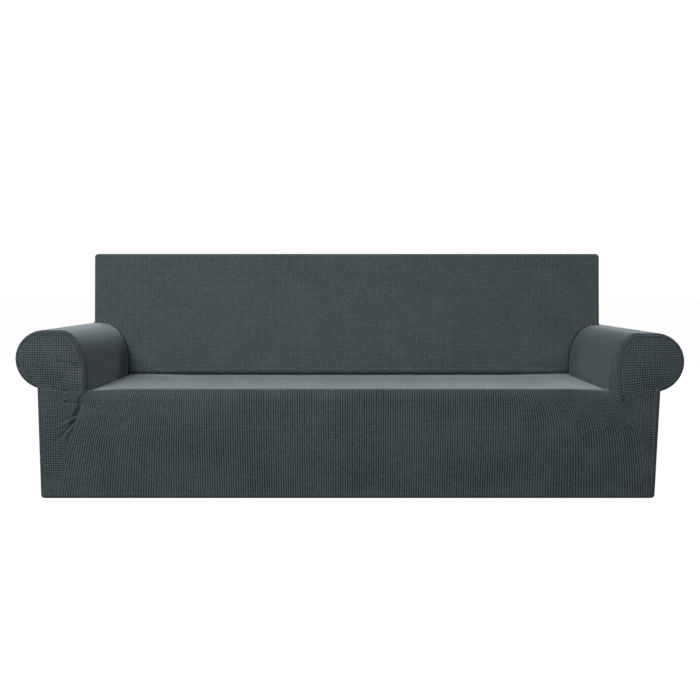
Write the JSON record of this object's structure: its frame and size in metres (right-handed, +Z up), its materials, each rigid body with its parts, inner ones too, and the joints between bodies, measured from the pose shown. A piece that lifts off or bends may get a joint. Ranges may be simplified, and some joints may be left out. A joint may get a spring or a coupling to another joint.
{
  "type": "sofa slipcover",
  "caption": "Fitted stretch slipcover in dark slate small-check cloth, hollow and shaped to a long sofa with rolled arms, a straight back and a skirt to the floor.",
  "frame": {"origin": "on the floor under the middle of the cover's bounding box", "axes": "+X along the sofa towards its left-hand arm as one sits, -Y out of the front, +Z up"},
  "size_m": [2.4064, 0.89, 0.911],
  "materials": {
    "seat_front": "matt napped small-check stretch jacquard, dark slate grey-green",
    "inside_back": "matt napped small-check stretch jacquard, dark slate grey-green",
    "outside_back": "matt napped small-check stretch jacquard, dark slate grey-green",
    "arm_left": "matt napped small-check stretch jacquard, dark slate grey-green",
    "arm_right": "matt napped small-check stretch jacquard, dark slate grey-green",
    "arm_front_left": "matt napped small-check stretch jacquard, dark slate grey-green",
    "arm_front_right": "matt napped small-check stretch jacquard, dark slate grey-green",
    "back_end_left": "matt napped small-check stretch jacquard, dark slate grey-green",
    "back_end_right": "matt napped small-check stretch jacquard, dark slate grey-green"
  },
  "bodies": {
    "root": {"seat_front": "seat_front", "inside_back": "inside_back", "outside_back": "outside_back", "arm_left": "arm_left", "arm_right": "arm_right", "arm_front_left": "arm_front_left", "arm_front_right": "arm_front_right", "back_end_left": "back_end_left", "back_end_right": "back_end_right"}
  },
  "joints": []
}
